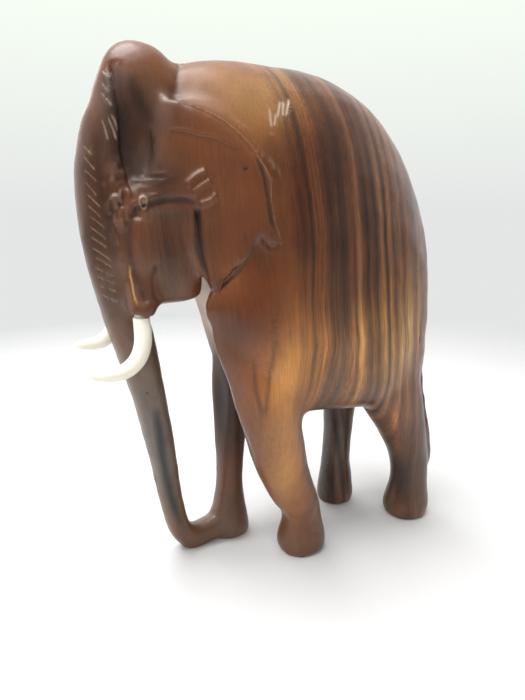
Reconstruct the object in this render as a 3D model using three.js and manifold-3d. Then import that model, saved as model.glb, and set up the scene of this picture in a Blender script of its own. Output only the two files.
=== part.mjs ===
// A carved wooden elephant: one block of striped hardwood carved as barrel, head, trunk,
// legs, ears and tail, and two separate tusks whose round pegs are glued into drilled sockets.
//
// Millimetres, +Z up. The elephant looks along -Y, so its left side is +X. It is laid out from
// the chest, where y is 0 and the tail is at +Y, and the finished group is moved so that the
// middle of its bounding box on the floor is the origin.

import * as THREE from "three";
import { mergeVertices } from "three/addons/utils/BufferGeometryUtils.js";
import Module from "manifold-3d";

const wasm = await Module();
wasm.setup();

// ---- Driving dimensions ------------------------------------------------------------------

const LEG_HEIGHT = 104; // floor to the belly
const BARREL_HEIGHT = 234; // belly to the top of the back
const BARREL_LENGTH = 190; // chest to rump
const BARREL_WIDTH = 112; // across the flanks

const HEAD_WIDTH = 63;
const HEAD_DEPTH = 70; // forehead to nape
const HEAD_HEIGHT = 145; // jaw to crown
const HEAD_REACH = 72; // how far the brow stands in front of the chest
const CROWN_RISE = 3; // crown above the back

const FRONT_FOOT_REACH = { left: 68, right: 32 }; // foot centres behind the chest
const REAR_FOOT_REACH = { left: 16, right: 53 }; // foot centres in front of the rump
const FRONT_TRACK = 48; // between the front foot centres
const REAR_TRACK = 49; // between the rear foot centres
const STANCE_LEAN = { front: 1, rear: 6.5 }; // how far each pair of feet stands to the left
const FOOT_RADIUS = { front: 18.5, rear: 19 };
const ANKLE_RADIUS = { front: 13.5, rear: 15 };

const TRUNK_RADIUS = 15; // at the brow
const TRUNK_SET = 22; // brow to the trunk's root, inside the forehead
const TRUNK_DROP = 24; // crown to the trunk's root
const TRUNK_TIP_RADIUS = 9.5;
const TRUNK_CURL = 29; // from the outside of the bend to the right front foot

// Where each leg leaves the belly: from the middle plane, behind the chest or in front of the
// rump, and its half sizes there.
const SHOULDER = {
  left: { spread: 28, reach: 28, halfWidth: 22, halfDepth: 25 },
  right: { spread: -25, reach: 37, halfWidth: 15, halfDepth: 15 },
};
const HAUNCH = {
  left: { spread: 30, reach: 50, halfWidth: 20, halfDepth: 30 },
  right: { spread: -24, reach: 43, halfWidth: 15, halfDepth: 18 },
};
const RIGHT_LEG_SHARE = { front: 0.9, rear: 0.86 }; // the right legs are carved thinner

const EAR_WIDTH = 58; // front of the root to the rear corner
const EAR_HEIGHT = 106.5; // lobe to the top of the root
const EAR_THICKNESS = 9;
const EAR_REACH = 30; // how far the root stands in front of the chest
const EAR_DROP = 30; // crown to the top of the root
const EAR_SPREAD = 35; // middle plane to the ear's outer face at the root
const EAR_FLARE = 0.34; // how much wider the ears stand for each millimetre back

const NECK_DROP = 72; // crown to the middle of the neck
const TAIL_RADIUS = 4;
const TAIL_DROP = 62; // top of the back to the tail's root
const TUFT_HEIGHT = 46; // floor to the tail's tuft

const TUSK_RADIUS = 5.2;
const TUSK_REACH = { left: 34, right: 27 }; // socket to tip, forwards
const TUSK_DROP = { left: 29, right: 24 }; // socket to the lowest bend
const SOCKET_SPREAD = 22; // middle plane to each socket
const SOCKET_SET = 24.5; // brow to the sockets, backwards
const SOCKET_DROP = 6; // jaw to the mouths of the sockets
const LIP_RADIUS = 9;
const PEG_RADIUS = 3.5;
const PEG_LENGTH = 12;
const PEG_SEAT = 4.3; // how far the peg runs down into the blade, from the socket's mouth
const GLUE_GAP = 0.3;

// ---- Helpers -----------------------------------------------------------------------------

const BACK_TOP = LEG_HEIGHT + BARREL_HEIGHT;
const CROWN = BACK_TOP + CROWN_RISE;
const DOWN = new THREE.Vector3(0, 0, -1);
const LEFT = new THREE.Vector3(1, 0, 0);
const BACK = new THREE.Vector3(0, 1, 0);
const OVERSHOOT = 4; // how far a cut runs past the face it opens

const socket = {
  left: [SOCKET_SPREAD, SOCKET_SET - HEAD_REACH, CROWN - HEAD_HEIGHT - SOCKET_DROP],
  right: [-SOCKET_SPREAD, SOCKET_SET - HEAD_REACH, CROWN - HEAD_HEIGHT - SOCKET_DROP],
};

// A closed body swept through stations [x, y, z, halfWidth, halfDepth]. Its sections are
// superellipses across the path, or across `normal` where one is given. `egg` narrows them
// towards the side that the depth axis points to, and `keel` is the power of the other side.
function sweep(stations, { rings = 24, sides = 24, power = 2.2, keel = power, normal, egg = 0 } = {}) {
  const path = new THREE.CatmullRomCurve3(stations.map(([x, y, z]) => new THREE.Vector3(x, y, z)));
  const size = new THREE.CatmullRomCurve3(stations.map(([, , , w, d]) => new THREE.Vector3(w, d, 0)));
  const positions = [];
  const index = [];
  for (let i = 0; i <= rings; i++) {
    const t = i / rings;
    const centre = path.getPoint(t);
    const { x: halfWidth, y: halfDepth } = size.getPoint(t);
    const along = normal ?? path.getTangent(t);
    const depth = new THREE.Vector3().crossVectors(LEFT, along).normalize();
    const width = new THREE.Vector3().crossVectors(along, depth).normalize();
    for (let j = 0; j < sides; j++) {
      const angle = (2 * Math.PI * j) / sides;
      const c = Math.cos(angle);
      const s = Math.sin(angle);
      const bend = 2 / (s < 0 ? keel : power);
      const across = Math.sign(c) * Math.abs(c) ** bend * (1 - egg * s);
      const point = centre
        .clone()
        .addScaledVector(width, Math.max(halfWidth, 0.5) * across)
        .addScaledVector(depth, Math.max(halfDepth, 0.5) * Math.sign(s) * Math.abs(s) ** bend);
      positions.push(...point.toArray());
    }
  }
  const ends = [path.getPoint(0), path.getPoint(1)];
  ends.forEach((end) => positions.push(...end.toArray()));
  const first = (rings + 1) * sides;
  for (let j = 0; j < sides; j++) {
    const next = (j + 1) % sides;
    for (let i = 0; i < rings; i++) {
      const a = i * sides + j;
      const b = i * sides + next;
      index.push(a, b + sides, b, a, a + sides, b + sides);
    }
    index.push(first, j, next, first + 1, rings * sides + next, rings * sides + j);
  }
  const geometry = new THREE.BufferGeometry();
  geometry.setAttribute("position", new THREE.Float32BufferAttribute(positions, 3));
  return geometry.setIndex(index);
}

// A geometry as a manifold-3d solid.
function solid(geometry) {
  const bare = geometry.index ? geometry.toNonIndexed() : geometry.clone();
  bare.deleteAttribute("normal");
  bare.deleteAttribute("uv");
  const merged = mergeVertices(bare, 1e-4);
  return new wasm.Manifold(
    new wasm.Mesh({
      numProp: 3,
      vertProperties: merged.attributes.position.array,
      triVerts: new Uint32Array(merged.index.array),
    }),
  );
}

// A manifold-3d solid as a geometry.
function geometryOf(body) {
  const mesh = body.getMesh();
  const geometry = new THREE.BufferGeometry();
  geometry.setAttribute("position", new THREE.Float32BufferAttribute(mesh.vertProperties, 3));
  return geometry.setIndex(new THREE.BufferAttribute(mesh.triVerts, 1));
}

// ---- The carving -------------------------------------------------------------------------

// Barrel stations: along the length, belly, back, and width, as shares of the barrel's sizes.
function barrel() {
  const profile = [
    [-0.12, 0.56, 0.93, 0.4],
    [-0.07, 0.53, 0.97, 0.56],
    [0.0, 0.47, 0.985, 0.7],
    [0.05, 0.39, 0.992, 0.78],
    [0.1, 0.28, 0.996, 0.85],
    [0.15, 0.14, 1.0, 0.9],
    [0.22, 0.05, 1.0, 0.95],
    [0.35, 0.03, 1.0, 1.0],
    [0.48, 0.015, 0.985, 1.0],
    [0.6, 0.0, 0.95, 1.0],
    [0.7, 0.0, 0.895, 0.97],
    [0.79, 0.0, 0.81, 0.91],
    [0.87, 0.0, 0.7, 0.82],
    [0.935, 0.0, 0.56, 0.66],
    [0.98, 0.03, 0.4, 0.43],
    [1.0, 0.1, 0.28, 0.22],
  ];
  const stations = profile.map(([along, belly, back, width]) => [
    0,
    along * BARREL_LENGTH,
    LEG_HEIGHT + ((belly + back) / 2) * BARREL_HEIGHT,
    (width * BARREL_WIDTH) / 2,
    ((back - belly) / 2) * BARREL_HEIGHT,
  ]);
  return sweep(stations, { rings: 28, sides: 34, power: 2.4, keel: 5, normal: BACK, egg: 0.03 });
}

// Head stations from crown to jaw: height, face, nape, and width, as shares of the head's sizes.
function head() {
  const profile = [
    [0.0, 0.44, 0.62, 0.12],
    [0.04, 0.3, 0.77, 0.4],
    [0.11, 0.23, 0.84, 0.56],
    [0.22, 0.15, 0.92, 0.7],
    [0.37, 0.07, 0.96, 0.8],
    [0.5, 0.05, 1.0, 0.9],
    [0.65, 0.08, 1.0, 1.0],
    [0.8, 0.12, 1.0, 1.0],
    [0.93, 0.22, 0.96, 0.88],
    [1.0, 0.36, 0.86, 0.6],
  ];
  const stations = profile.map(([down, face, nape, width]) => [
    0,
    -HEAD_REACH + ((face + nape) / 2) * HEAD_DEPTH,
    CROWN - down * HEAD_HEIGHT,
    (width * HEAD_WIDTH) / 2,
    ((nape - face) / 2) * HEAD_DEPTH,
  ]);
  return sweep(stations, { rings: 22, sides: 26, power: 2.5, normal: DOWN, egg: -0.15 });
}

const frontFoot = {
  left: [STANCE_LEAN.front + FRONT_TRACK / 2, FRONT_FOOT_REACH.left],
  right: [STANCE_LEAN.front - FRONT_TRACK / 2, FRONT_FOOT_REACH.right],
};
const rearFoot = {
  left: [STANCE_LEAN.rear + REAR_TRACK / 2, BARREL_LENGTH - REAR_FOOT_REACH.left],
  right: [STANCE_LEAN.rear - REAR_TRACK / 2, BARREL_LENGTH - REAR_FOOT_REACH.right],
};

// A leg from inside the barrel to the sole: stations are [share of the way to the foot,
// height as a share of the leg, half width, half depth].
function leg(hip, foot, profile) {
  const stations = profile.map(([share, height, width, depth]) => [
    hip[0] + (foot[0] - hip[0]) * share,
    hip[1] + (foot[1] - hip[1]) * share,
    height * LEG_HEIGHT,
    width,
    depth,
  ]);
  return sweep(stations, { rings: 18, sides: 18, power: 2.2, normal: DOWN });
}

function frontLeg(side) {
  const { spread, reach, halfWidth, halfDepth } = SHOULDER[side];
  const share = side === "left" ? 1 : RIGHT_LEG_SHARE.front;
  const ankle = ANKLE_RADIUS.front * share;
  const sole = FOOT_RADIUS.front * share;
  return leg([spread, reach], frontFoot[side], [
    [0.0, 1.8, 0.5 * halfWidth, 0.5 * halfDepth],
    [0.03, 1.5, 0.8 * halfWidth, 0.85 * halfDepth],
    [0.15, 1.15, halfWidth, halfDepth],
    [0.42, 0.8, 0.9 * halfWidth, 0.82 * halfDepth],
    [0.72, 0.48, 0.8 * halfWidth, 0.66 * halfDepth],
    [0.93, 0.26, ankle, ankle],
    [1.0, 0.14, sole * 0.9, sole * 0.92],
    [1.0, 0.06, sole, sole],
    [1.0, -0.01, sole * 0.84, sole * 0.84],
  ]);
}

function rearLeg(side) {
  const { spread, reach, halfWidth, halfDepth } = HAUNCH[side];
  const share = side === "left" ? 1 : RIGHT_LEG_SHARE.rear;
  const ankle = ANKLE_RADIUS.rear * share;
  const sole = FOOT_RADIUS.rear * share;
  return leg([spread, BARREL_LENGTH - reach], rearFoot[side], [
    [0.0, 1.8, 0.6 * halfWidth, 0.6 * halfDepth],
    [0.05, 1.45, 0.9 * halfWidth, 0.9 * halfDepth],
    [0.2, 1.1, halfWidth, halfDepth],
    [0.6, 0.82, 0.9 * halfWidth, 0.76 * halfDepth],
    [0.97, 0.52, (0.8 * halfWidth + ankle) / 2, (0.6 * halfDepth + ankle) / 2],
    [1.06, 0.32, ankle, ankle],
    [1.02, 0.14, sole * 0.93, sole * 0.95],
    [1.0, 0.06, sole, sole],
    [1.0, -0.01, sole * 0.84, sole * 0.84],
  ]);
}

// The trunk from inside the forehead to the floor, where its tip turns back and runs into the
// right front foot. Stations are [way down, way back, way sideways, radius], as shares.
function trunk() {
  const [footX, footY] = frontFoot.right;
  const side = footX + 2;
  const toe = footY - FOOT_RADIUS.front;
  const rootY = TRUNK_SET - HEAD_REACH;
  const rootZ = CROWN - TRUNK_DROP;
  const bendY = toe - TRUNK_CURL + TRUNK_TIP_RADIUS;
  const fall = [
    [0.0, 0.1, 0.0, 0.6],
    [0.08, -0.11, 0.0, 0.92],
    [0.16, -0.19, 0.0, 1.0],
    [0.24, -0.17, 0.02, 1.0],
    [0.31, -0.11, 0.06, 0.98],
    [0.38, 0.0, 0.13, 0.96],
    [0.45, 0.12, 0.24, 0.9],
    [0.52, 0.25, 0.36, 0.82],
    [0.61, 0.4, 0.49, 0.73],
    [0.71, 0.54, 0.63, 0.68],
    [0.81, 0.66, 0.78, 0.6],
    [0.89, 0.77, 0.9, 0.57],
    [0.95, 0.9, 0.97, 0.57],
  ];
  const r = TRUNK_TIP_RADIUS;
  const stations = fall.map(([down, back, sway, radius]) => [
    side * sway,
    rootY + (bendY - rootY) * back,
    rootZ * (1 - down),
    radius * TRUNK_RADIUS,
    radius * TRUNK_RADIUS,
  ]);
  stations.push([side, bendY + 6, r * 0.75, r, r * 0.95]);
  stations.push([side, bendY + 14, r * 0.85, r, r]);
  stations.push([side, toe + 2, r, r, r]);
  stations.push([side, toe + 14, r, r, r]);
  return sweep(stations, { rings: 44, sides: 18, power: 2.6 });
}

// The swell of the lip that holds a tusk's socket.
function lip(side) {
  const [x, y, mouth] = socket[side];
  return sweep(
    [
      [x * 0.35, y + 14, mouth + 42, LIP_RADIUS, LIP_RADIUS],
      [x * 0.7, y + 5, mouth + 22, LIP_RADIUS * 1.15, LIP_RADIUS * 1.15],
      [x * 0.92, y + 1.5, mouth + 8, LIP_RADIUS, LIP_RADIUS],
      [x, y, mouth, LIP_RADIUS * 0.8, LIP_RADIUS * 0.8],
    ],
    { rings: 8, sides: 16, normal: DOWN },
  );
}

// The neck fills the hollow between the head and the shoulders, under the ear roots. Stations
// are [way from the brow to the chest, half width, half height], as shares of the head's sizes.
function neck() {
  const profile = [
    [0.25, 0.26, 0.23],
    [0.5, 0.49, 0.28],
    [0.75, 0.6, 0.32],
    [1.0, 0.67, 0.37],
    [1.25, 0.68, 0.4],
  ];
  const stations = profile.map(([way, width, height]) => [
    0,
    HEAD_REACH * (way - 1),
    CROWN - NECK_DROP,
    width * HEAD_WIDTH,
    height * HEAD_HEIGHT,
  ]);
  return sweep(stations, { rings: 12, sides: 22, power: 2.6, normal: BACK });
}

// An ear: a thick leaf that lies back over the shoulder, with one notch behind its lobe. Its
// outline is given as shares of its width, backwards, and of its height, upwards.
function ear(side) {
  const lobe = CROWN - EAR_DROP - EAR_HEIGHT;
  const at = ([back, up]) => new THREE.Vector2(back * EAR_WIDTH - EAR_REACH, up * EAR_HEIGHT + lobe);
  const crest = [[0.172, 0.977], [0.362, 0.934], [0.569, 0.854], [0.776, 0.732], [0.931, 0.446]];
  const corner = [1, 0.268];
  const notch = [[0.897, 0.239], [0.784, 0.296]];
  const hem = [[0.69, 0.183], [0.517, 0.08], [0.319, 0]];
  const front = [[0.241, 0.164], [0.19, 0.333], [0.155, 0.54], [0.069, 0.784], [0, 1]];
  const shape = new THREE.Shape();
  shape.moveTo(...at([0, 1]).toArray());
  shape.splineThru([...crest, corner].map(at));
  notch.forEach((point) => shape.lineTo(...at(point).toArray()));
  shape.splineThru(hem.map(at));
  shape.splineThru(front.map(at));
  const flat = new THREE.ExtrudeGeometry(shape, {
    depth: EAR_THICKNESS,
    bevelEnabled: false,
    curveSegments: 2,
  });
  const lean = new THREE.Matrix4().set(
    0, 0, 1, 0,
    1, 0, 0, 0,
    0, 1, 0, 0,
    0, 0, 0, 1,
  );
  const flare = new THREE.Matrix4().set(
    1, EAR_FLARE, 0, EAR_SPREAD - EAR_THICKNESS + EAR_FLARE * EAR_REACH,
    0, 1, 0, 0,
    0, 0, 1, 0,
    0, 0, 0, 1,
  );
  const leaf = solid(flat.applyMatrix4(flare.multiply(lean)));
  return side === "left" ? leaf : leaf.mirror([1, 0, 0]);
}

// The tail hangs from the rump to a tuft that rests on the back of the left rear leg.
function tail() {
  const rump = BARREL_LENGTH;
  const root = BACK_TOP - TAIL_DROP;
  const [hockX, hockY] = [rearFoot.left[0], rearFoot.left[1] + ANKLE_RADIUS.rear];
  return sweep(
    [
      [0, rump - 44, root, TAIL_RADIUS, TAIL_RADIUS],
      [3, rump - 22, root - 26, TAIL_RADIUS, TAIL_RADIUS],
      [10, rump - 6, root - 68, TAIL_RADIUS, TAIL_RADIUS],
      [19, rump - 2, LEG_HEIGHT + 48, TAIL_RADIUS, TAIL_RADIUS],
      [hockX - 4, rump - 2, LEG_HEIGHT, TAIL_RADIUS, TAIL_RADIUS],
      [hockX, hockY + 4, TUFT_HEIGHT + 16, TAIL_RADIUS * 1.3, TAIL_RADIUS * 1.3],
      [hockX + 1, hockY + 4, TUFT_HEIGHT, TAIL_RADIUS * 1.5, TAIL_RADIUS * 1.4],
      [hockX + 1, hockY + 1, TUFT_HEIGHT - 16, TAIL_RADIUS * 0.6, TAIL_RADIUS * 0.6],
    ],
    { rings: 22, sides: 10 },
  );
}

// A slab over the whole footprint, to cut a flat end: its underside is at `height`.
function slab(height, deep) {
  const cut = new THREE.BoxGeometry(2 * BARREL_WIDTH, 3 * BARREL_LENGTH, deep);
  return solid(cut.translate(0, BARREL_LENGTH / 2, height + deep / 2));
}

// A round pin or hole on a socket's axis, from `below` under its mouth to `above` it.
function shaft(side, radius, below, above) {
  const [x, y, mouth] = socket[side];
  const pin = new THREE.CylinderGeometry(radius, radius, below + above, 24);
  return solid(pin.rotateX(Math.PI / 2).translate(x, y, mouth + (above - below) / 2));
}

// The socket: a hole for the peg, and room for the blade where it passes the trunk.
function socketed(block, side) {
  const hole = shaft(side, PEG_RADIUS + GLUE_GAP, PEG_SEAT + GLUE_GAP, PEG_LENGTH + GLUE_GAP);
  return block.subtract(hole).subtract(blade(side, GLUE_GAP));
}

function carve() {
  const pieces = [
    barrel(),
    head(),
    neck(),
    trunk(),
    lip("left"),
    lip("right"),
    frontLeg("left"),
    frontLeg("right"),
    rearLeg("left"),
    rearLeg("right"),
    tail(),
  ].map(solid);
  const block = [...pieces, ear("left"), ear("right")].reduce((body, piece) => body.add(piece));
  const footed = block.subtract(slab(-FOOT_RADIUS.rear, FOOT_RADIUS.rear));
  return socketed(socketed(footed, "left"), "right");
}

// ---- The tusks ---------------------------------------------------------------------------

// A tusk's blade drops from its socket, bends forwards and ends in a blunt point. Stations are
// [outwards in tusk radii, share of the reach, share of the drop, share of the radius], and
// `clearance` makes it fatter all round, to cut the room that it needs.
function blade(side, clearance = 0) {
  const [x, y, mouth] = socket[side];
  const outwards = Math.sign(x) * TUSK_RADIUS;
  const top = mouth - GLUE_GAP;
  const profile = [
    [0.0, 0.0, -0.14, 0.96],
    [0.4, 0.0, 0.2, 1.0],
    [0.85, 0.03, 0.5, 1.0],
    [1.15, 0.14, 0.78, 0.98],
    [1.35, 0.34, 0.97, 0.93],
    [1.45, 0.6, 1.03, 0.8],
    [1.35, 0.85, 1.02, 0.6],
    [1.25, 1.0, 0.98, 0.28],
  ];
  const stations = profile.map(([out, reach, drop, thick]) => [
    x + out * outwards,
    y - reach * TUSK_REACH[side],
    top - drop * TUSK_DROP[side],
    thick * TUSK_RADIUS + clearance,
    thick * TUSK_RADIUS + clearance,
  ]);
  const body = solid(sweep(stations, { rings: 20, sides: 16, power: 2 }));
  return body.subtract(slab(top + clearance, 2 * OVERSHOOT));
}

// A tusk: its blade, and the peg that goes up into the socket.
function tusk(side) {
  return blade(side).add(shaft(side, PEG_RADIUS, PEG_SEAT, PEG_LENGTH));
}

// ---- Assembly ----------------------------------------------------------------------------

const wood = new THREE.MeshStandardMaterial({ color: 0x5a3420, roughness: 0.4, metalness: 0 });
const bone = new THREE.MeshStandardMaterial({ color: 0xefe9d2, roughness: 0.25, metalness: 0 });

const solids = [
  ["carved_body", carve(), wood],
  ["tusk_left", tusk("left"), bone],
  ["tusk_right", tusk("right"), bone],
];

const group = new THREE.Group();
for (const [name, body, material] of solids) {
  const mesh = new THREE.Mesh(geometryOf(body), material);
  mesh.name = name;
  group.add(mesh);
}

const bounds = new THREE.Box3().setFromObject(group);
const middle = bounds.getCenter(new THREE.Vector3());
for (const mesh of group.children) {
  mesh.geometry.translate(-middle.x, -middle.y, -bounds.min.z);
}

export default group;
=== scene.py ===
"""A standing elephant carved from one block of striped hardwood, with two glued-in tusks."""

import math

import bmesh
import bpy
import numpy as np
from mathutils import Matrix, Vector


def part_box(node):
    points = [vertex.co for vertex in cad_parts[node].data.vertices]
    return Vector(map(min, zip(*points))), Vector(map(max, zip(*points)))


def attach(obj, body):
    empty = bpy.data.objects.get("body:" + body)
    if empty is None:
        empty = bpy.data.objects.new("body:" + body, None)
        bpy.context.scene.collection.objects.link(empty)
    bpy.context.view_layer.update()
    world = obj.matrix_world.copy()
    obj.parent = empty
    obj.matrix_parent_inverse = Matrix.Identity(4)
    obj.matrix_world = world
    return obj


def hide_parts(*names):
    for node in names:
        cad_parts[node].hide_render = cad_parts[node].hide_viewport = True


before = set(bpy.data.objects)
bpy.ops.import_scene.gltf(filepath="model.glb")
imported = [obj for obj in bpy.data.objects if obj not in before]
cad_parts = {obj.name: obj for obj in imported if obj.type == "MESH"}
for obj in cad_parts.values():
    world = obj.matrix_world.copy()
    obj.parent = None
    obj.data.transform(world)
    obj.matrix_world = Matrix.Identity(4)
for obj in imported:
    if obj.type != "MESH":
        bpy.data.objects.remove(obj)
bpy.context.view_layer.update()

# The carving plan below is in millimetres on a block of this size. It is laid onto the
# frame's own body, so the marks keep their places if the block grows or shrinks.
PLAN_BLOCK = np.array([112.2, 280.4, 341.0])
MM = 0.001

EVEN_GRID = 2.6  # the even grid that the block is smoothed on
TUSK_GRID = 0.7
BODY_TRIANGLES = 192000
MELT_ROUNDS = 40  # how often each point of the block moves towards its neighbours
TUSK_ROUNDS = 14
TUSK_SHARE = 0.4
PEG_ZONE = 12.5  # the top of a tusk, where the peg keeps its turned shape
FLAT_SOLE = 0.3  # points lower than this lie on the floor
JOINED = 1e-6  # loose corners nearer than this, in metres, become one
LIFT_FORGIVEN = 0.985  # how much of a line's height off the surface doesn't count


# ---- Small tools --------------------------------------------------------------------------


def plan_stretch():
    """The frame's block against the plan's, along x, y and z."""
    low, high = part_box("carved_body")
    return (np.array(high) - np.array(low)) / PLAN_BLOCK / MM


def link(name, mesh):
    piece = bpy.data.objects.new(name, mesh)
    bpy.context.scene.collection.objects.link(piece)
    return piece


def merged_copy(node, name):
    """A copy of a node's solid with its loose triangles joined up."""
    bm = bmesh.new()
    bm.from_mesh(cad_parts[node].data)
    bmesh.ops.remove_doubles(bm, verts=bm.verts, dist=JOINED)
    mesh = bpy.data.meshes.new(name)
    bm.to_mesh(mesh)
    bm.free()
    return link(name, mesh)


def settle(piece):
    """Applies the piece's modifiers."""
    graph = bpy.context.evaluated_depsgraph_get()
    mesh = bpy.data.meshes.new_from_object(piece.evaluated_get(graph))
    piece.modifiers.clear()
    piece.data = mesh
    return piece


def even_grid(piece, size):
    grid = piece.modifiers.new("grid", "REMESH")
    grid.mode = "VOXEL"
    grid.voxel_size = size * MM
    return settle(piece)


def finer(piece, levels):
    rounds = piece.modifiers.new("rounds", "SUBSURF")
    rounds.levels = levels
    rounds.render_levels = levels
    return settle(piece)


def points_of(mesh):
    flat = np.empty(len(mesh.vertices) * 3)
    mesh.vertices.foreach_get("co", flat)
    return flat.reshape(-1, 3) / MM


def set_points(mesh, points):
    mesh.vertices.foreach_set("co", (points * MM).ravel())
    mesh.update()


def normals_of(mesh):
    flat = np.empty(len(mesh.vertices) * 3)
    mesh.vertex_normals.foreach_get("vector", flat)
    return flat.reshape(-1, 3)


def edges_of(mesh):
    flat = np.empty(len(mesh.edges) * 2, dtype=np.int64)
    mesh.edges.foreach_get("vertices", flat)
    return flat.reshape(-1, 2)


def relax(points, edges, share, rounds):
    """Moves each point towards the mean of its neighbours, by its share, again and again."""
    a, b = edges.T
    count = len(points)
    links = np.bincount(a, minlength=count) + np.bincount(b, minlength=count)
    for _ in range(rounds):
        mean = np.empty_like(points)
        for axis in range(3):
            column = points[:, axis]
            total = np.bincount(a, column[b], count) + np.bincount(b, column[a], count)
            mean[:, axis] = total / links
        points = points + share[:, None] * (mean - points)
    return points


def ease(low, high, value):
    t = np.clip((value - low) / (high - low), 0, 1)
    return t * t * (3 - 2 * t)


def rounded(line, steps=6):
    """A smooth line through its points."""
    line = np.array(line, float)
    ends = np.vstack([2 * line[0] - line[1], line, 2 * line[-1] - line[-2]])
    out = []
    for i in range(1, len(ends) - 2):
        p, q, r, s = ends[i - 1 : i + 3]
        for t in np.arange(steps) / steps:
            bend = 2 * q + (r - p) * t + (2 * p - 5 * q + 4 * r - s) * t**2
            out.append(0.5 * (bend + (3 * q - p - 3 * r + s) * t**3))
    out.append(line[-1])
    return np.array(out)


def dot(a, b):
    return np.einsum("ij,ij->i", a, b)


def along(line, points, normals):
    """Distance from the line, the share of the way along it, and which side: 1 is its left.
    The distance is taken on the surface, so a line may lie a little above or below it."""
    best = np.full(len(points), np.inf)
    way = np.zeros(len(points))
    side = np.ones(len(points))
    for i, (a, b) in enumerate(zip(line[:-1], line[1:])):
        step = b - a
        t = np.clip((points - a) @ step / (step @ step), 0, 1)
        off = points - a - t[:, None] * step
        gap = dot(off, off) - LIFT_FORGIVEN * dot(off, normals) ** 2
        near = gap < best
        best[near] = gap[near]
        way[near] = (i + t[near]) / (len(line) - 1)
        side[near] = np.sign(dot(off[near], np.cross(normals[near], step)))
    return np.sqrt(np.maximum(best, 0)), way, side


def soft_noise(points, size, seed):
    """Smooth random values from -1 to 1 with lumps of the given size."""
    cells, far_corner = 32, 100
    lattice = np.random.default_rng(seed).uniform(-1, 1, (cells, cells, cells))
    q = points / size + far_corner
    cell = np.floor(q).astype(int)
    f = q - cell
    f = f * f * (3 - 2 * f)
    value = np.zeros(len(points))
    for corner in np.ndindex(2, 2, 2):
        weight = np.prod(np.where(corner, f, 1 - f), axis=1)
        value += weight * lattice[tuple(((cell + corner) % cells).T)]
    return value


def bell(off, width):
    """1 where off is nothing, fading smoothly to 0 about a width away."""
    return np.exp(-((off / width) ** 2))


def blob(points, centre, radii):
    """1 at the centre, fading smoothly to 0 about a radius away."""
    gap = (points - np.array(centre)) / np.array(radii)
    return np.exp(-dot(gap, gap))


# ---- The carving plan ---------------------------------------------------------------------
# Lines lie on the left side of the block, in millimetres: x to its left, y backwards, z up.
# Both sides of the head are carved alike, so each of its lines is cut again on the right.

CREST = [(36, -87, 310), (39, -78, 307), (42, -68, 303)]
CREST += [(45, -58, 296), (49, -47, 286), (50, -44, 281)]
EAR_BACK = [(50, -44, 281), (48, -36, 268), (53, -35, 254), (54, -33, 243), (51, -29, 232)]
EAR_FOLD = [(50, -45, 279), (51, -41, 271), (52, -39, 261), (53, -37, 247), (53, -34, 236)]
NOTCH = [(51, -29, 232), (49, -33, 229), (49, -38, 231), (50, -43, 235)]
HEM = [(50, -44, 235), (48, -51, 223), (46, -56, 217), (42, -66, 209), (39, -70, 204)]
LOBE = [(39, -70, 204), (38, -75, 225), (39, -77, 242), (39, -77, 251)]
CHEEK_TOP = [(25, -112, 244), (26, -110, 250), (28, -106, 252)]
CHEEK_TOP += [(30, -94, 255), (35, -83, 255), (38, -77, 253)]
CHEEK_BACK = [(38, -78, 253), (36, -77, 244), (35, -76, 228), (37, -71, 208)]
STRIP_TOP = [(6, -113, 327), (11, -114, 317), (15, -114, 307)]
STRIP_TOP += [(20, -113, 291), (22, -113, 276), (25, -112, 259)]
STRIP_LOW = [(26, -111, 251), (23, -114, 234), (21, -110, 214), (26, -109, 205), (29, -108, 196)]
DOME_RIM = [(10, -111, 327), (14, -112, 315), (17, -111, 304), (20, -108, 296)]
NECK_CREASE = [(8, -72, 329), (17, -78, 322), (20, -80, 316), (35, -87, 309)]
ROOT_FOLDS = [
    [(35, -83, 263), (38, -78, 268), (40, -72, 271)],
    [(36, -80, 259), (39, -75, 263), (41, -70, 266)],
    [(38, -77, 253), (41, -71, 255), (42, -67, 259)],
]
EAR_RIB = [(30, -89, 291), (37, -84, 291), (39, -76, 289)]
EAR_RIB += [(42, -68, 288), (44, -61, 285), (47, -53, 281)]
MOUTH = [(29, -100, 222), (27, -102, 216), (26, -102, 210), (28, -102, 203), (27, -99, 198)]
EYE = (28.5, -106, 254)
EYE_RING, EYE_HOLE, EYE_LINE = 2.1, 1.0, 0.7
PUPIL = 1.5
KNOTS = (21, -116, 255)
KNOT_SPREAD = (6, 8, 20)
BROW = (30, -97, 263)
BROW_SPREAD = (9, 12, 8)

CUT_FADE = 0.12  # the share of a cut's length in which it dies away at each end
CUT_REACH = 2.5  # no point further off than this many widths is looked at
# [line, depth and width left of the line, depth and width right of it]. Depth goes in.
CUTS = [
    (CREST, 0.8, 3.0, 0.3, 4.0),
    (CREST, -0.8, 0.9, -0.8, 0.9),
    (EAR_BACK, 1.0, 2.4, 0.2, 1.0),
    (EAR_BACK, -0.6, 0.8, -0.6, 0.8),
    (EAR_FOLD, 0.9, 1.0, 0.9, 1.2),
    (NOTCH, 1.0, 1.6, 0.0, 1.0),
    (HEM, 1.3, 2.0, -0.5, 2.5),
    (LOBE, 1.8, 2.2, -0.5, 2.0),
    (CHEEK_TOP, 2.0, 1.8, 2.2, 6.5),
    (CHEEK_BACK, 1.2, 3.0, 1.6, 1.6),
    (STRIP_TOP, 2.6, 6.0, 1.2, 1.4),
    (STRIP_LOW, 1.3, 4.0, 0.9, 3.0),
    (DOME_RIM, -1.1, 1.8, -1.1, 2.6),
    (NECK_CREASE, 1.2, 3.0, 1.2, 3.6),
    (MOUTH, 0.9, 1.2, 0.9, 1.2),
    (EAR_RIB, -0.5, 1.2, 0.4, 3.0),
]
CUTS += [(fold, -2.2, 1.7, -2.2, 1.7) for fold in ROOT_FOLDS]

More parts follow.
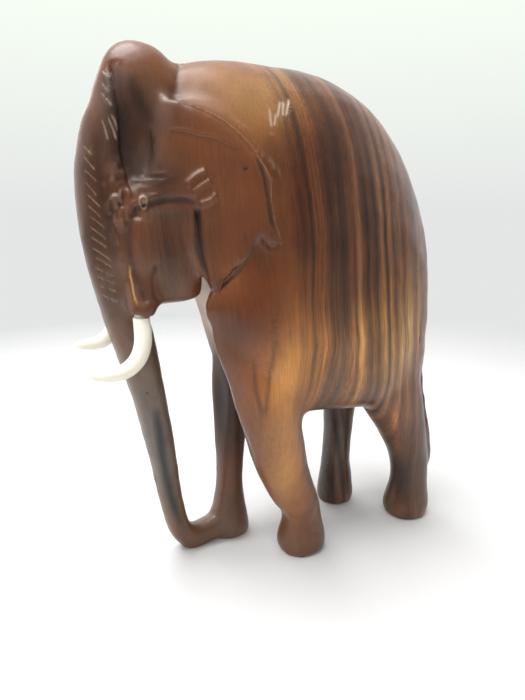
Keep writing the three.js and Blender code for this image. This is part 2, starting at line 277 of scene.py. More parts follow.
# Painted shade darkening the grooves: [line, width, share].
PAINTED_GROOVE_SHADE = [
    (CHEEK_TOP, 2.2, 0.7),
    (LOBE, 2.6, 0.85),
    (CHEEK_BACK, 3.0, 0.7),
    (STRIP_TOP, 13.0, 0.7),
    (STRIP_LOW, 6.0, 0.4),
    (HEM, 2.2, 0.65),
    (NOTCH, 2.0, 0.5),
    (EAR_FOLD, 2.0, 0.6),
    (NECK_CREASE, 3.5, 0.4),
    (MOUTH, 2.2, 0.35),
]

# Knife nicks in groups: [first start, first end, last start, last end, how many].
NICKS = [
    ((4, -115, 322), (10, -115, 317), (8, -118, 310), (15, -116, 303), 3),
    ((14, -117, 300), (20, -114, 287), (11, -120, 297), (15, -119, 286), 3),
    ((6, -129, 284), (12, -126, 277), (8, -131, 259), (14, -125, 251), 5),
    ((8, -130, 253), (14, -124, 245), (6, -129, 230), (13, -121, 223), 5),
    ((6, -128, 225), (13, -120, 218), (3, -124, 203), (11, -118, 198), 5),
]
# Five deep scratches on the neck behind the ear, each by its two ends.
SCRATCHES = [
    ((39, -30, 307), (43, -31, 295)),
    ((40, -26, 304), (43, -29, 296)),
    ((38, -21, 312), (42, -26, 301)),
    ((38, -19, 312), (42, -22, 302)),
    ((37, -14, 314), (42, -20, 302)),
]
# Where small scratches gather: [centre, spread, how many].
WORN_PLACES = [
    ((42, -36, 296), (3, 14, 12), 26),
    ((48, -34, 276), (1, 5, 10), 12),
    ((48, -22, 105), (2, 10, 34), 16),
]
CRACKS = [
    [(-11, -91, 75), (-17, -88, 56), (-22, -79, 30)],
    [(48, 101, 171), (48, 103, 160), (48, 102, 151)],
]
# The split beside the left tusk, filled with glue.
SPLIT = [(21, -113, 221), (20, -113, 214), (21, -112, 208), (23, -112, 203), (26, -111, 196)]
DIMPLES = [((48, -51, 272), 1.1), ((1, -100, 136), 0.9)]

# Where the block's joints melt into each other: [line, reach, share].
MELT = [
    (CREST, 11, 0.5),
    ([(36, -88, 309), (34, -87, 290), (35, -83, 270), (37, -79, 256)], 10, 0.5),
    ([(27, -98, 294), (28, -97, 283), (30, -95, 271)], 9, 0.5),
    (EAR_BACK, 5, 0.3),
    ([(24, -40, 138), (22, -42, 160)], 8, 0.3),
    ([(0, -95, 200), (0, -90, 190)], 14, 0.4),
    ([(45, -8, 112), (45, 20, 106), (45, 60, 106), (42, 75, 110)], 14, 0.4),
    ([(8, -72, 329), (20, -72, 318), (30, -68, 305)], 12, 0.4),
    ([(0, 120, 250), (8, 133, 215), (19, 138, 150), (27, 138, 105)], 7, 0.3),
]
LEAST_MELT = 0.1
STILL_FOOT = 6  # the soles stay flat, so melting comes in over this height
# The lip round the drilled sockets hardly melts, so that the pegs still fit.
SOCKETS = [(22, -106, 189), (-22, -106, 189)]
SOCKET_REACH = (10, 10, 10)
SOCKET_KEPT = 0.95

# Hollows and swells pushed into the block before it is smoothed: [centre, radii, push].
# The first list is carved alike on both sides, and the second as it is.
PAIRED_PUSHES = [
    ((20, -46, 112), (9, 16, 32), (2, 8, 0)),
    ((30, 16, 34), (16, 12, 26), (0, 6, 0)),
    ((26, -6, 30), (12, 8, 9), (0, 4, 0)),
    ((24, -107, 284), (8, 10, 22), (-8, 7, 0)),
    ((30, -96, 266), (8, 10, 5), (1.5, 0, 0)),
    ((24, -104, 196), (9, 9, 8), (2.5, -1, -1.5)),
    ((37, -73, 206), (9, 11, 9), (0, 2, -9)),
    ((31, -84, 202), (10, 14, 12), (0, 12, -6)),
]
PUSHES = [
    ((-20, -62, 3), (9, 9, 9), (0, -2.5, -1)),
]

# The left shoulder's sharp front ridge: how far forward it stands, its middle, how far it
# spreads across and back, and how far down and up. It stops short of the ear's hem.
RIDGE_REACH = 29
RIDGE_MIDDLE = (38, -46, 190)
RIDGE_WIDTH = (13, 34)
RIDGE_BELOW, RIDGE_ABOVE = 38, 22
HEM_FRONT, HEM_LOWEST, HEM_SLOPE = -70, 204, 1.19


def both_sides(points, normals):
    """For the left and then the right: a mask of the points there, and those points and
    their normals as they would be on the left."""
    for side in (1, -1):
        here = points[:, 0] * side > 1
        yield here, points[here] * (side, 1, 1), normals[here] * (side, 1, 1)


def melt_share(points):
    """How far each point of the block moves towards its neighbours in a round of smoothing."""
    share = np.full(len(points), LEAST_MELT)
    for here, seen, straight in both_sides(points, np.zeros_like(points)):
        for line, reach, strength in MELT:
            gap, _, _ = along(rounded(line, 3), seen, straight)
            share[here] = np.maximum(share[here], strength * bell(gap, reach))
    for socket in SOCKETS:
        share *= 1 - SOCKET_KEPT * blob(points, socket, SOCKET_REACH)
    return share * ease(0, STILL_FOOT, points[:, 2])


def shoulder_ridge(points):
    """How far each point goes forward so that the left shoulder ends in a ridge below the ear."""
    x, y, z = points.T
    rise = z - RIDGE_MIDDLE[2]
    reach = RIDGE_REACH * bell(rise, np.where(rise < 0, RIDGE_BELOW, RIDGE_ABOVE))
    across = ((x - RIDGE_MIDDLE[0]) / RIDGE_WIDTH[0]) ** 2
    deep = ((y - RIDGE_MIDDLE[1]) / RIDGE_WIDTH[1]) ** 2
    hem = HEM_LOWEST + HEM_SLOPE * np.maximum(y - HEM_FRONT, 0)
    return reach * np.exp(-across - deep) * (1 - ease(-9, -1, z - hem))


def pushed(points):
    """The points after the shoulder ridge, the hollows and the swells have been pushed."""
    moved = points.copy()
    moved[:, 1] -= shoulder_ridge(points)
    for centre, radii, push in PUSHES:
        moved += blob(points, centre, radii)[:, None] * push
    for side in (1, -1):
        mirror = np.array([side, 1, 1])
        for centre, radii, push in PAIRED_PUSHES:
            moved += blob(points, mirror * centre, radii)[:, None] * (mirror * push)
    return moved


def near_line(path, points, reach):
    """A quick mask of the points in a box round the line, so that the rest are skipped."""
    return np.all((points > path.min(0) - reach) & (points < path.max(0) + reach), axis=1)


def cut_depth(points, normals):
    """How far every point goes in, from all the cuts that pass it."""
    depth = np.zeros(len(points))
    for side in (1, -1):
        seen = points * (side, 1, 1)
        facing = normals * (side, 1, 1)
        for line, left, left_width, right, right_width in CUTS:
            path = rounded(line)
            here = near_line(path, seen, CUT_REACH * max(left_width, right_width))
            if not here.any():
                continue
            gap, way, turn = along(path, seen[here], facing[here])
            fade = ease(0, CUT_FADE, way) * ease(0, CUT_FADE, 1 - way)
            s = gap * turn
            to_left = ease(-0.5, 0.5, s)
            width = np.where(s > 0, left_width, right_width)
            amount = left * to_left + right * (1 - to_left)
            depth[here] += amount * fade * bell(s, width)
    return depth


def nick_lines():
    """The knife nicks, in rows that run from each group's first nick to its last."""
    chance = np.random.default_rng(9)
    lines = []
    for start, end, last_start, last_end, count in NICKS:
        for i in range(count):
            t = i / (count - 1)
            a = np.array(start) * (1 - t) + np.array(last_start) * t + chance.uniform(-0.5, 0.5, 3)
            b = np.array(end) * (1 - t) + np.array(last_end) * t + chance.uniform(-1.0, 1.0, 3)
            lines.append(np.array([a, (a + b) / 2, b]))
    return lines


def worn_lines():
    """Short scratches scattered over the places that hands and shelves have rubbed."""
    chance = np.random.default_rng(10)
    lines = []
    for centre, spread, count in WORN_PLACES:
        for _ in range(count):
            middle = np.array(centre) + chance.normal(0, 0.6, 3) * spread
            reach = np.array([chance.uniform(-1, 1), chance.uniform(-2, 2), chance.uniform(1, 4)])
            lines.append(np.array([middle - reach, middle, middle + reach]))
    return lines


def scores(points, normals, lines, width):
    """1 on the given thin lines, fading to 0 at their width and at their ends."""
    mark = np.zeros(len(points))
    for line in lines:
        path = np.array(line, float)
        here = near_line(path, points, 2 * width + 5)
        if here.any():
            gap, way, _ = along(path, points[here], normals[here])
            here_mark = (1 - ease(0, width, gap)) * ease(0, 0.2, way) * ease(0, 0.2, 1 - way)
            mark[here] = np.maximum(mark[here], here_mark)
    return mark


def eye_gap(points):
    """Distance from the nearer eye's middle, on a ring that is taller than wide."""
    gaps = []
    for side in (1, -1):
        off = points - np.array([side * EYE[0], EYE[1], EYE[2]])
        gaps.append(np.linalg.norm(off * (1, 1, 0.62), axis=1))
    return np.minimum(*gaps)


def knot_grain(points):
    return soft_noise(points * (1, 1, 0.7), 2.3, 3)


def hand_marks(points, normals):
    """The fine relief: tool facets, knots, nicks, scratches, cracks and the eyes. Plus is out."""
    out = 0.28 * soft_noise(points, 13, 1) + 0.1 * soft_noise(points, 6, 2)
    for side in (1, -1):
        mirror = np.array([side, 1, 1])
        out += 1.7 * blob(points, mirror * KNOTS, KNOT_SPREAD) * knot_grain(points)
        folds = soft_noise(points * (1, 1, 2.6), 5, 4)
        out += 0.9 * blob(points, mirror * BROW, BROW_SPREAD) * folds
    out -= 0.5 * scores(points, normals, nick_lines(), 0.9)
    out -= 0.4 * scores(points, normals, SCRATCHES, 0.9)
    out -= 1.0 * scores(points, normals, CRACKS, 1.0)
    out -= 0.8 * scores(points, normals, [rounded(SPLIT)], 1.4)
    for centre, radius in DIMPLES:
        out -= 1.0 * blob(points, centre, (radius, radius, radius))
    gap = eye_gap(points)
    out += 1.1 * bell(gap - EYE_RING, EYE_LINE) - 1.0 * bell(gap - EYE_HOLE, EYE_LINE)
    return out * ease(0, 3, points[:, 2])


# ---- The grain, the colour patches and the painted light ----------------------------------

# The trunk's middle, from its root down to its tip, along which its own grain runs.
TRUNK_LINE = [(2, -118, 200), (1, -100, 136), (-3, -95, 108)]
TRUNK_LINE += [(-9, -85, 60), (-14, -76, 25), (-18, -64, 6)]

# Soft patches of colour laid over the grain, some of them painted highlights, sheen, bounce light and
# shade: [centre, radii, share of red, green and blue].
COLOUR_AND_LIGHT_PATCHES = [
    ((50, 9, 268), (14, 13, 34), (0.62, 0.62, 0.75)),
    ((50, 40, 262), (14, 10, 32), (0.66, 0.66, 0.8)),
    ((51, -14, 252), (12, 8, 40), (0.5, 0.4, 0.32)),
    # Painted shade in the temple hollow.
    ((24, -105, 283), (10, 11, 21), (0.15, 0.2, 0.3)),
    ((21, -106, 300), (10, 12, 18), (0.6, 0.6, 0.65)),
    ((33, -92, 270), (10, 12, 12), (0.6, 0.6, 0.62)),
    ((30, -84, 310), (14, 10, 16), (0.7, 0.6, 0.5)),
    # A painted highlight on the dome, whiter than the wood.
    ((14, -98, 312), (16, 12, 14), (0.62, 0.85, 1.1)),
    ((31, -96, 264), (10, 12, 9), (0.6, 0.64, 0.7)),
    # A painted grey highlight on the cheek's upturned top band.
    ((33, -92, 247), (10, 16, 5), (0.6, 0.9, 1.3)),
    ((32, -92, 222), (12, 18, 18), (0.85, 0.95, 0.95)),
    ((4, -124, 250), (22, 14, 55), (0.3, 0.38, 0.5)),
    # The trunk: partly its cooler, greyer wood and partly a painted milky sheen.
    ((0, -100, 120), (26, 24, 80), (1.0, 2.4, 6.0)),
    ((-10, -84, 58), (22, 22, 46), (1.1, 1.7, 2.4)),
    ((-23, -26, 105), (20, 20, 56), (0.03, 0.1, 0.35)),
    ((-20, -30, 14), (24, 34, 22), (0.95, 1.9, 4.2)),
    ((-18, 78, 50), (20, 22, 60), (0.2, 0.34, 0.8)),
    ((34, 112, 40), (22, 26, 52), (0.24, 0.36, 0.68)),
    ((25, 10, 10), (22, 22, 14), (0.66, 1.1, 1.9)),
    # Painted bounce light from the floor on the near front leg.
    ((47, -22, 105), (20, 15, 62), (3.0, 4.2, 4.2)),
    ((40, -6, 50), (22, 20, 36), (1.6, 1.8, 1.7)),
    ((46, -32, 148), (14, 18, 24), (1.8, 1.75, 1.4)),
    ((50, -12, 128), (12, 13, 26), (0.62, 0.55, 0.52)),
    # A painted grey sheen on the chest's front facet.
    ((-8, -46, 168), (20, 12, 28), (5.5, 13, 28)),
    ((48, -52, 186), (14, 18, 24), (0.75, 0.62, 0.4)),
    # Painted bounce light from the floor on the lower flank.
    ((54, 32, 152), (14, 38, 34), (3.3, 4.0, 3.1)),
    ((52, 88, 168), (14, 13, 32), (2.1, 2.8, 3.4)),
    ((47, 86, 252), (12, 14, 36), (0.6, 0.5, 0.42)),
    # Painted top light and highlight on the neck and shoulder top.
    ((32, -38, 320), (24, 40, 20), (1.9, 2.9, 3.4)),
    ((42, -40, 298), (14, 18, 16), (1.7, 2.1, 2.3)),
    ((54, -40, 215), (12, 14, 30), (0.95, 0.8, 0.65)),
    ((43, -62, 214), (10, 13, 14), (1.45, 1.4, 1.2)),
]
# Where the polish has gone: [centre, radii, share].
DULL_PATCHES = [
    ((24, -105, 283), (12, 12, 24), 0.8),
    ((33, -94, 264), (12, 14, 12), 0.8),
    ((26, -60, 320), (20, 28, 18), 0.7),
    ((41, -73, 262), (8, 10, 12), 0.5),
    ((-23, -26, 105), (20, 20, 56), 0.6),
]
# Long streaks in the grain: [line, width, share of red, green and blue].
STREAKS = [
    ([(15, -106, 322), (20, -103, 308), (26, -97, 292)], 3.0, (0.5, 0.48, 0.5)),
    ([(10, -122, 300), (13, -124, 270), (15, -120, 240), (15, -118, 215)], 3.0, (0.6, 0.6, 0.64)),
    ([(5, -126, 306), (7, -129, 284), (7, -130, 262)], 2.0, (0.7, 0.7, 0.72)),
    (
        [(52, -21, 178), (51, -21, 158), (49, -18, 137), (48, -15, 116), (45, -6, 68)],
        2.2,
        (1.1, 1.15, 1.1),
    ),
    ([(40, -43, 165), (43, -43, 143), (46, -38, 120)], 1.4, (0.5, 0.5, 0.55)),
    ([(49, -33, 197), (48, -32, 166), (47, -36, 133), (46, -38, 120)], 1.4, (0.5, 0.5, 0.55)),
    ([(49, 77, 112), (45, 88, 85), (37, 97, 58)], 2.5, (1.9, 1.6, 1.3)),
    (
        [(1, -96, 131), (-1, -92, 108), (-5, -89, 84), (-9, -82, 50), (-14, -68, 6)],
        2.8,
        (0.16, 0.18, 0.22),
    ),
    ([(49, -6, 122), (46, 0, 100), (43, 8, 74), (40, 14, 50)], 3.0, (0.4, 0.36, 0.36)),
]


def ring_field(points):
    """The growth layers: planes across the block that lean, swirl over the belly and wander."""
    x, y, z = points.T
    ring = y + 0.1 * (z - 200)
    ring += 0.3 * np.maximum(165 - z, 0) * bell(y - 5, 25)
    ring += 3.4 * soft_noise(points, 60, 5) + 2.0 * soft_noise(points * (1, 1, 0.5), 20, 6)
    path = rounded(TRUNK_LINE)
    gap, _, _ = along(path, points, np.zeros_like(points))
    middle = np.interp(z, path[::-1, 2], path[::-1, 0])
    lengthwise = -70 + 1.5 * (x - middle)
    on_trunk = np.exp(-((gap / 22) ** 4)) * (1 - ease(185, 215, z))
    return ring * (1 - on_trunk) + lengthwise * on_trunk


def groove_shading(points, normals):
    """For each groove on each side: a mask of that side's points, and the painted shade on them."""
    for here, seen, facing in both_sides(points, normals):
        for line, width, share in PAINTED_GROOVE_SHADE:
            yield here, share * scores(seen, facing, [rounded(line)], width)


def tint_and_painted_light_field(points, normals):
    """The share of red, green and blue that the patches, streaks and grooves let through. Some patches
    are painted highlights, sheen and bounce light, and the grooves get painted shade.
    """
    tint_and_painted_light = np.ones((len(points), 3))
    for centre, radii, shares in COLOUR_AND_LIGHT_PATCHES:
        strength = blob(points, centre, radii)[:, None]
        tint_and_painted_light *= 1 + strength * (np.array(shares) - 1)
    for line, width, shares in STREAKS:
        strength = scores(points, normals, [rounded(line)], 2 * width)[:, None]
        tint_and_painted_light *= 1 + strength * (np.array(shares) - 1)
    # Painted shade in the grooves darkens the colour here.
    for here, groove_shade in groove_shading(points, normals):
        tint_and_painted_light[here] *= (1 - groove_shade)[:, None]
    for centre, radius in DIMPLES:
        tint_and_painted_light *= 1 - 0.75 * blob(points, centre, (radius * 1.2,) * 3)[:, None]
    tint_and_painted_light *= 1 + 0.2 * soft_noise(points * (1, 1, 0.6), 15, 8)[:, None]
    pupil = 0.7 * bell(eye_gap(points), PUPIL)
    return tint_and_painted_light * (1 - pupil)[:, None]


def figure_field(points):
    """How strongly the stripes show: fully on the flank and rump, faintly on head and neck."""
    figure = 0.12 + 0.88 * ease(-26, 2, points[:, 1] + 0.12 * (points[:, 2] - 200))
    cheek = sum(blob(points, (side * 30, -92, 228), (14, 16, 26)) for side in (1, -1))
    low = 1 - ease(60, 110, points[:, 2])
    high = ease(240, 300, points[:, 2])
    patchy = 0.2 * soft_noise(points * (1, 1, 0.5), 20, 7)
    return np.clip(figure + 0.5 * cheek - 0.3 * low - 0.25 * high + patchy, 0, 1)


def dull_field(points, normals):
    """Where the polish is lost: in the grooves and in the dull patches."""
    dull = np.zeros(len(points))
    for centre, radii, share in DULL_PATCHES:
        dull = np.maximum(dull, share * blob(points, centre, radii))
    # The grooves that get painted shade are also left without polish.
    for here, groove_shade in groove_shading(points, normals):
        dull[here] = np.maximum(dull[here], groove_shade)
    return dull


def scar_and_edge_highlight_field(points, normals):
    """Where a blade or a scratch went through the polish to pale wood, and a painted highlight along the
    ear's edges.
    """
    nicks = 0.6 * scores(points, normals, nick_lines(), 1.3)
    knots = blob(points, KNOTS, KNOT_SPREAD) * np.maximum(knot_grain(points), 0)
    nicks = nicks * (0.75 + 0.35 * soft_noise(points, 5, 12)) + 0.22 * knots
    wear_and_edge_highlight = 0.22 * scores(points, normals, worn_lines(), 0.8)
    ear_edges = [rounded(CREST), rounded(EAR_BACK), rounded(HEM)]
    for here, seen, facing in both_sides(points, normals):
        # A painted highlight along the ear's crest, back edge and hem.
        edges = 0.45 * scores(seen, facing, ear_edges, 1.2)
        wear_and_edge_highlight[here] = np.maximum(wear_and_edge_highlight[here], edges * (0.7 + 0.5 * soft_noise(seen, 6, 14)))
    nicks = np.maximum(nicks, wear_and_edge_highlight)
    eyes = 0.42 * bell(eye_gap(points) - EYE_RING, EYE_LINE)
    return np.maximum(nicks, scores(points, normals, SCRATCHES, 1.4)) + eyes


def put_value(mesh, name, values):
    layer = mesh.attributes.new(name, "FLOAT", "POINT")
    layer.data.foreach_set("value", values)


def put_colour(mesh, name, values):
    layer = mesh.attributes.new(name, "FLOAT_COLOR", "POINT")
    layer.data.foreach_set("color", np.column_stack([values, np.ones(len(values))]).ravel())


# ---- Materials ----------------------------------------------------------------------------


def add(tree, kind, inputs, **settings):
    """Adds a node. A socket given as an input is linked to, and a value is set."""
    piece = tree.nodes.new("ShaderNode" + kind)
    for key, value in settings.items():
        setattr(piece, key, value)
    for key, value in inputs.items():
        if isinstance(value, bpy.types.NodeSocket):
            tree.links.new(value, piece.inputs[key])
        else:
            piece.inputs[key].default_value = value
    return piece


def new_material(name):
    material = bpy.data.materials.new(name)
    material.use_nodes = True
    return material, material.node_tree, material.node_tree.nodes["Principled BSDF"]


def times(tree, value, share, more=0.0):
    """The value times a share, and more added."""
    return add(tree, "Math", {0: value, 1: share, 2: more}, operation="MULTIPLY_ADD").outputs[0]


def noise(tree, vector, scale, detail, roughness):
    inputs = {"Vector": vector, "Scale": scale, "Detail": detail, "Roughness": roughness}
    return add(tree, "TexNoise", inputs).outputs["Fac"]


def stretched(tree, x, y, z):
    return add(tree, "CombineXYZ", {"X": x, "Y": y, "Z": z}).outputs[0]


def dented(tree, shader, height, strength):
    """A bump of the given strength over a fifth of a millimetre."""
    dent = add(tree, "Bump", {"Height": height, "Strength": strength, "Distance": 0.2 * MM})
    tree.links.new(dent.outputs["Normal"], shader.inputs["Normal"])


def mixed(tree, factor, a, b, blend="MIX"):
    piece = add(tree, "Mix", {}, data_type="RGBA", blend_type=blend)
    for key, value in (("Factor_Float", factor), ("A_Color", a), ("B_Color", b)):
        socket = next(s for s in piece.inputs if s.identifier == key)
        if isinstance(value, bpy.types.NodeSocket):
            tree.links.new(value, socket)
        else:
            socket.default_value = value
    return next(s for s in piece.outputs if s.identifier == "Result_Color")


def ramp(tree, factor, stops):
    piece = add(tree, "ValToRGB", {"Fac": factor})
    elements = piece.color_ramp.elements
    while len(elements) < len(stops):
        elements.new(0.5)
    for element, (place, colour) in zip(elements, stops):
        element.position = place
        element.color = (*colour, 1)
    return piece.outputs["Color"]


def attribute(tree, name, output):
    return add(tree, "Attribute", {}, attribute_name=name).outputs[output]


DARK = (0.050, 0.022, 0.012)
BROWN = (0.110, 0.040, 0.016)
ORANGE = (0.195, 0.066, 0.020)
TAN = (0.240, 0.104, 0.040)
PLAIN = (0.142, 0.043, 0.012, 1)  # the wood between the stripes, on the head and the neck
BARE_WOOD_AND_HIGHLIGHT = (0.50, 0.36, 0.25, 1)
GLUE = (0.62, 0.36, 0.08, 1)
NO_POLISH = (0.85, 0.85, 0.85, 1)  # as a roughness
# Bands across the block, by their place in the growth layers, in millimetres.
BANDS = [
    (-60, BROWN), (-45, ORANGE), (-36, BROWN), (-26, ORANGE), (-18, ORANGE), (-11, BROWN), (-7, ORANGE),
    (-4, DARK), (-1, ORANGE), (5, ORANGE), (8, BROWN), (11, DARK), (15, BROWN), (20, DARK), (24, BROWN),
    (30, BROWN), (33.5, TAN), (37, BROWN), (41, DARK), (45, BROWN), (49, DARK), (55, TAN), (59, DARK),
    (63, TAN), (67, BROWN), (73, TAN), (77, BROWN), (83, TAN), (90, BROWN), (96, TAN), (110, BROWN),
]
BAND_SPAN = 256  # the width across the block that the colour bands share out

# The floor is solid out to the first distance, in metres, and has faded by the second.
FLOOR_SOLID, FLOOR_GONE = 0.45, 0.95
FLOOR_RADIUS = 4


def grain(tree, spot, ring, figure):
    """The wood's colour from its bands, its fine growth lines, its fibres and its clouds."""
    shared = times(tree, ring, 1 / BAND_SPAN, 0.5)
    stripes = ramp(tree, shared, [(ring_at / BAND_SPAN + 0.5, tone) for ring_at, tone in BANDS])
    colour = mixed(tree, figure, PLAIN, stripes)
    x, y, z = add(tree, "SeparateXYZ", {"Vector": spot}).outputs
    layers = stretched(tree, times(tree, ring, 0.42), times(tree, x, 9), times(tree, z, 7))
    lines = noise(tree, layers, 1, 4, 0.62)
    shades = [(0.32, (0.56, 0.54, 0.58)), (0.5, (0.96, 0.96, 0.96)), (0.66, (1.28, 1.24, 1.16))]
    colour = mixed(tree, times(tree, figure, 0.8, 0.08), colour, ramp(tree, lines, shades), "MULTIPLY")
    fibres = stretched(tree, times(tree, x, 900), times(tree, ring, 1.1), times(tree, z, 45))
    threads = noise(tree, fibres, 1, 5, 0.6)
    shades = [(0.35, (0.6, 0.58, 0.58)), (0.53, (1, 1, 1)), (0.68, (1.25, 1.22, 1.18))]
    colour = mixed(tree, times(tree, figure, 0.5, 0.35), colour, ramp(tree, threads, shades), "MULTIPLY")
    cloud = noise(tree, spot, 32, 5, 0.6)
    shades = [(0.3, (0.74, 0.7, 0.68)), (0.52, (1, 1, 1)), (0.72, (1.2, 1.16, 1.1))]
    return mixed(tree, 0.8, colour, ramp(tree, cloud, shades), "MULTIPLY"), cloud, fibres


def hardwood():
    material, tree, shader = new_material("striped_hardwood")
    spot = add(tree, "TexCoord", {}).outputs["Object"]
    ring = attribute(tree, "ring", "Fac")
    figure = attribute(tree, "figure", "Fac")
    colour, cloud, fibres = grain(tree, spot, ring, figure)
    # Multiplies in the wood's colour patches together with the painted highlights, sheen, bounce light
    # and groove shade.
    colour = mixed(tree, 1.0, colour, attribute(tree, "tint_and_painted_light", "Color"), "MULTIPLY")
    # Pale bare wood at the nicks and scratches, and a painted highlight along the ear's edges.
    colour = mixed(tree, attribute(tree, "scar_and_edge_highlight", "Fac"), colour, BARE_WOOD_AND_HIGHLIGHT)
    colour = mixed(tree, attribute(tree, "glue", "Fac"), colour, GLUE)
    tree.links.new(colour, shader.inputs["Base Color"])
    gloss = ramp(tree, cloud, [(0.3, (0.46,) * 3), (0.7, (0.32,) * 3)])
    rough = mixed(tree, attribute(tree, "dull", "Fac"), gloss, NO_POLISH)
    tree.links.new(rough, shader.inputs["Roughness"])
    dented(tree, shader, noise(tree, fibres, 2.2, 3, 0.5), 0.35)
    shader.inputs["Specular IOR Level"].default_value = 0.45
    shader.inputs["Coat Weight"].default_value = 0.2
    shader.inputs["Coat Roughness"].default_value = 0.25
    return material


def tusk_cream():
    material, tree, shader = new_material("polished_cream_tusk")
    spot = add(tree, "TexCoord", {}).outputs["Object"]
    lengthwise = add(tree, "Mapping", {"Vector": spot, "Scale": (260, 40, 60)}).outputs[0]
    lines = noise(tree, lengthwise, 1, 3, 0.5)
    colour = ramp(tree, lines, [(0.3, (0.84, 0.79, 0.64)), (0.6, (0.90, 0.87, 0.75))])
    tree.links.new(colour, shader.inputs["Base Color"])
    gloss = ramp(tree, lines, [(0.3, (0.34,) * 3), (0.7, (0.22,) * 3)])
    tree.links.new(gloss, shader.inputs["Roughness"])
    dented(tree, shader, lines, 0.15)
    shader.inputs["Coat Weight"].default_value = 0.3
    return material


def floor_paint():
    """Pale paint that fades out with distance, so that the floor has no edge."""
    material, tree, shader = new_material("pale_floor")
    spot = add(tree, "TexCoord", {}).outputs["Object"]
    far = add(tree, "VectorMath", {0: spot}, operation="LENGTH").outputs["Value"]
    shader.inputs["Base Color"].default_value = (0.66, 0.66, 0.655, 1)
    shader.inputs["Roughness"].default_value = 0.6
    solid = ramp(tree, far, [(FLOOR_SOLID, (1, 1, 1)), (FLOOR_GONE, (0, 0, 0))])
    tree.links.new(solid, shader.inputs["Alpha"])
    return material


# ---- The pieces ---------------------------------------------------------------------------


def carved_body():
    body = merged_copy("carved_body", "carved_elephant")
    stretch = plan_stretch()
    even_grid(body, EVEN_GRID)
    points = pushed(points_of(body.data) / stretch)
    points = relax(points, edges_of(body.data), melt_share(points), MELT_ROUNDS)
    points[:, 2] = np.where(points[:, 2] < FLAT_SOLE, 0, points[:, 2])
    set_points(body.data, points * stretch)
    finer(body, 2)
    points = points_of(body.data) / stretch
    normals = normals_of(body.data)
    rise = hand_marks(points, normals) - cut_depth(points, normals)
    set_points(body.data, (points + normals * rise[:, None]) * stretch)
    thin = body.modifiers.new("thin", "DECIMATE")
    thin.ratio = BODY_TRIANGLES / (2 * len(body.data.polygons))
    settle(body)
    body.data.shade_smooth()
    points = points_of(body.data) / stretch
    normals = normals_of(body.data)
    put_value(body.data, "ring", ring_field(points))
    put_value(body.data, "figure", figure_field(points))
    put_colour(body.data, "tint_and_painted_light", tint_and_painted_light_field(points, normals))
    put_value(body.data, "scar_and_edge_highlight", scar_and_edge_highlight_field(points, normals))
    put_value(body.data, "dull", dull_field(points, normals))
    put_value(body.data, "glue", 0.85 * scores(points, normals, [rounded(SPLIT)], 1.3))
    return body


def tusk(node, name):
    piece = merged_copy(node, name)
    even_grid(piece, TUSK_GRID)
    points = points_of(piece.data)
    peg = points[:, 2] > points[:, 2].max() - PEG_ZONE
    share = np.where(peg, 0.0, TUSK_SHARE)
    set_points(piece.data, relax(points, edges_of(piece.data), share, TUSK_ROUNDS))
    piece.data.shade_smooth()
    return piece


def place(piece, node, slot, material):
    piece.data.materials.clear()
    piece.data.materials.append(material)
    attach(piece, "root")
    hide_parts(node)


# ---- The studio ---------------------------------------------------------------------------


CAMERA_PLACE = (0.3234, -0.2109, 0.250)
LOOKS_DOWN, LOOKS_ROUND = 14.4, 58  # degrees
LIT_MIDDLE = (0, 0, 0.17)  # where every panel points
PALE_WALL = (-0.88, 0.44, 0.18)  # the way to the pale wall behind the carving
# Soft panels: [name, place, width, height, watts, whether the wood mirrors it].
PANELS = [
    ("ceiling", (-0.05, -0.35, 1.35), 0.9, 0.9, 26, True),
    ("left_window", (-1.5, 0.13, 0.86), 0.9, 0.8, 5, True),
    ("front_window", (-0.4, -1.3, 0.6), 1.2, 1.0, 4, True),
    ("camera_side", (1.3, -0.7, 0.9), 1.4, 1.2, 11, False),
    ("right_wall", (0.3, 1.3, 0.6), 1.0, 0.9, 2, True),
]


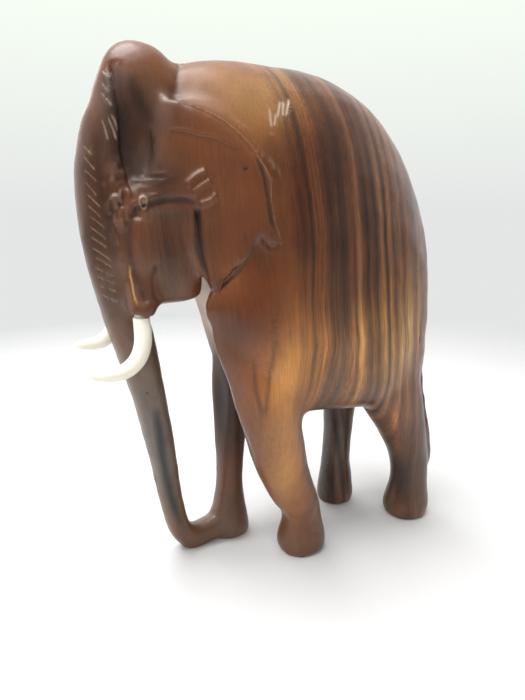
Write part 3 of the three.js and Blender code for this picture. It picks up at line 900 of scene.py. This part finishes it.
def camera():
    data = bpy.data.cameras.new("camera")
    data.sensor_width = 36
    data.lens = 28.08
    piece = bpy.data.objects.new("camera", data)
    piece.location = CAMERA_PLACE
    piece.rotation_euler = (math.radians(90 - LOOKS_DOWN), 0, math.radians(LOOKS_ROUND))
    bpy.context.scene.collection.objects.link(piece)
    bpy.context.scene.camera = piece


def floor():
    bm = bmesh.new()
    bmesh.ops.create_circle(bm, cap_ends=True, segments=96, radius=FLOOR_RADIUS)
    mesh = bpy.data.meshes.new("floor")
    bm.to_mesh(mesh)
    bm.free()
    piece = link("floor", mesh)
    piece.data.materials.append(floor_paint())


def soft_panel(name, spot, width, height, watts, mirrored):
    light = bpy.data.lights.new(name, "AREA")
    light.shape = "RECTANGLE"
    light.size = width
    light.size_y = height
    light.energy = watts
    piece = bpy.data.objects.new(name, light)
    piece.location = spot
    piece.rotation_euler = (Vector(LIT_MIDDLE) - Vector(spot)).to_track_quat("-Z", "Y").to_euler()
    piece.visible_glossy = mirrored
    bpy.context.scene.collection.objects.link(piece)


def room():
    """A dim room with one pale wall. The camera sees a plain pale background instead."""
    world = bpy.data.worlds.new("room")
    bpy.context.scene.world = world
    world.use_nodes = True
    tree = world.node_tree
    shader = tree.nodes["Background"]
    seen = add(tree, "LightPath", {}).outputs["Is Camera Ray"]
    direction = add(tree, "TexCoord", {}).outputs["Generated"]
    height = add(tree, "SeparateXYZ", {"Vector": direction}).outputs["Z"]
    wall = ramp(tree, height, [(0.0, (0.78, 0.79, 0.79)), (0.3, (0.93, 1.0, 0.91))])
    back = add(tree, "VectorMath", {0: direction, 1: PALE_WALL}, operation="DOT_PRODUCT").outputs["Value"]
    glow = ramp(tree, back, [(0.05, (0.22,) * 3), (0.7, (1.3,) * 3)])
    colour = mixed(tree, seen, glow, wall)
    tree.links.new(colour, shader.inputs["Color"])
    for panel in PANELS:
        soft_panel(*panel)


wood = hardwood()
cream = tusk_cream()
place(carved_body(), "carved_body", "hardwood", wood)
place(tusk("tusk_left", "left_tusk"), "tusk_left", "tusk", cream)
place(tusk("tusk_right", "right_tusk"), "tusk_right", "tusk", cream)
camera()
floor()
room()
bpy.context.scene.view_settings.view_transform = "Standard"
